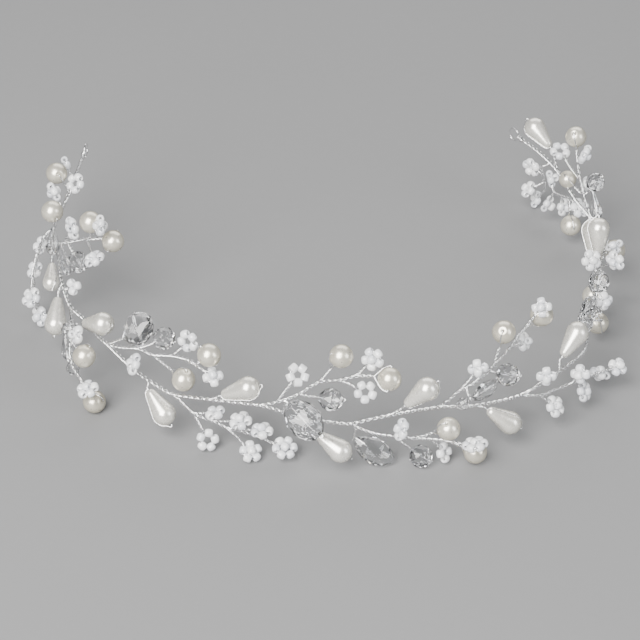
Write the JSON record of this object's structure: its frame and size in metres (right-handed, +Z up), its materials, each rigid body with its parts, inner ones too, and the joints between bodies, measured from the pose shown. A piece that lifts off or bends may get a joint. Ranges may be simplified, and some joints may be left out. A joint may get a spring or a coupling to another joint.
{
  "type": "hair vine",
  "caption": "Open-ended ring of twisted silver-coloured wire with short sprigs of pearls, drop pearls, cut clear stones and small rings of seed beads.",
  "frame": {"origin": "centre of the part's footprint, at the surface that it stands on", "axes": "+X from the wearer's right-hand end to the other side across the widest part of the ring, +Y from the front of the vine to its open back, +Z up"},
  "size_m": [0.1676, 0.14, 0.0365],
  "materials": {
    "silver_wire": "bright drawn wire, twisted in pairs",
    "ivory_pearl": "pearl lustre",
    "clear_crystal": "clear, cut and polished",
    "seed_beads": "milky white glass, slightly shiny"
  },
  "bodies": {
    "root": {"vine_wire": "silver_wire", "pearl_01": "ivory_pearl", "pearl_02": "ivory_pearl", "pearl_03": "ivory_pearl", "pearl_04": "ivory_pearl", "pearl_05": "ivory_pearl", "pearl_06": "ivory_pearl", "pearl_07": "ivory_pearl", "pearl_08": "ivory_pearl", "pearl_09": "ivory_pearl", "pearl_10": "ivory_pearl", "pearl_11": "ivory_pearl", "pearl_12": "ivory_pearl", "pearl_13": "ivory_pearl", "pearl_14": "ivory_pearl", "pearl_15": "ivory_pearl", "pearl_16": "ivory_pearl", "pearl_17": "ivory_pearl", "pearl_18": "ivory_pearl", "pearl_19": "ivory_pearl", "pearl_20": "ivory_pearl", "drop_pearl_01": "ivory_pearl", "drop_pearl_02": "ivory_pearl", "drop_pearl_03": "ivory_pearl", "drop_pearl_04": "ivory_pearl", "drop_pearl_05": "ivory_pearl", "drop_pearl_06": "ivory_pearl", "drop_pearl_07": "ivory_pearl", "drop_pearl_08": "ivory_pearl", "drop_pearl_09": "ivory_pearl", "drop_pearl_10": "ivory_pearl", "drop_pearl_11": "ivory_pearl", "drop_pearl_12": "ivory_pearl", "round_crystal_01": "clear_crystal", "round_crystal_02": "clear_crystal", "round_crystal_03": "clear_crystal", "round_crystal_04": "clear_crystal", "round_crystal_05": "clear_crystal", "round_crystal_06": "clear_crystal", "round_crystal_07": "clear_crystal", "oval_crystal_01": "clear_crystal", "oval_crystal_02": "clear_crystal", "oval_crystal_03": "clear_crystal", "oval_crystal_04": "clear_crystal", "small_crystals": "clear_crystal", "narrow_crystals": "clear_crystal", "seed_rings_left": "seed_beads", "seed_rings_front_left": "seed_beads", "seed_rings_front_right": "seed_beads", "seed_rings_right": "seed_beads"}
  },
  "joints": []
}
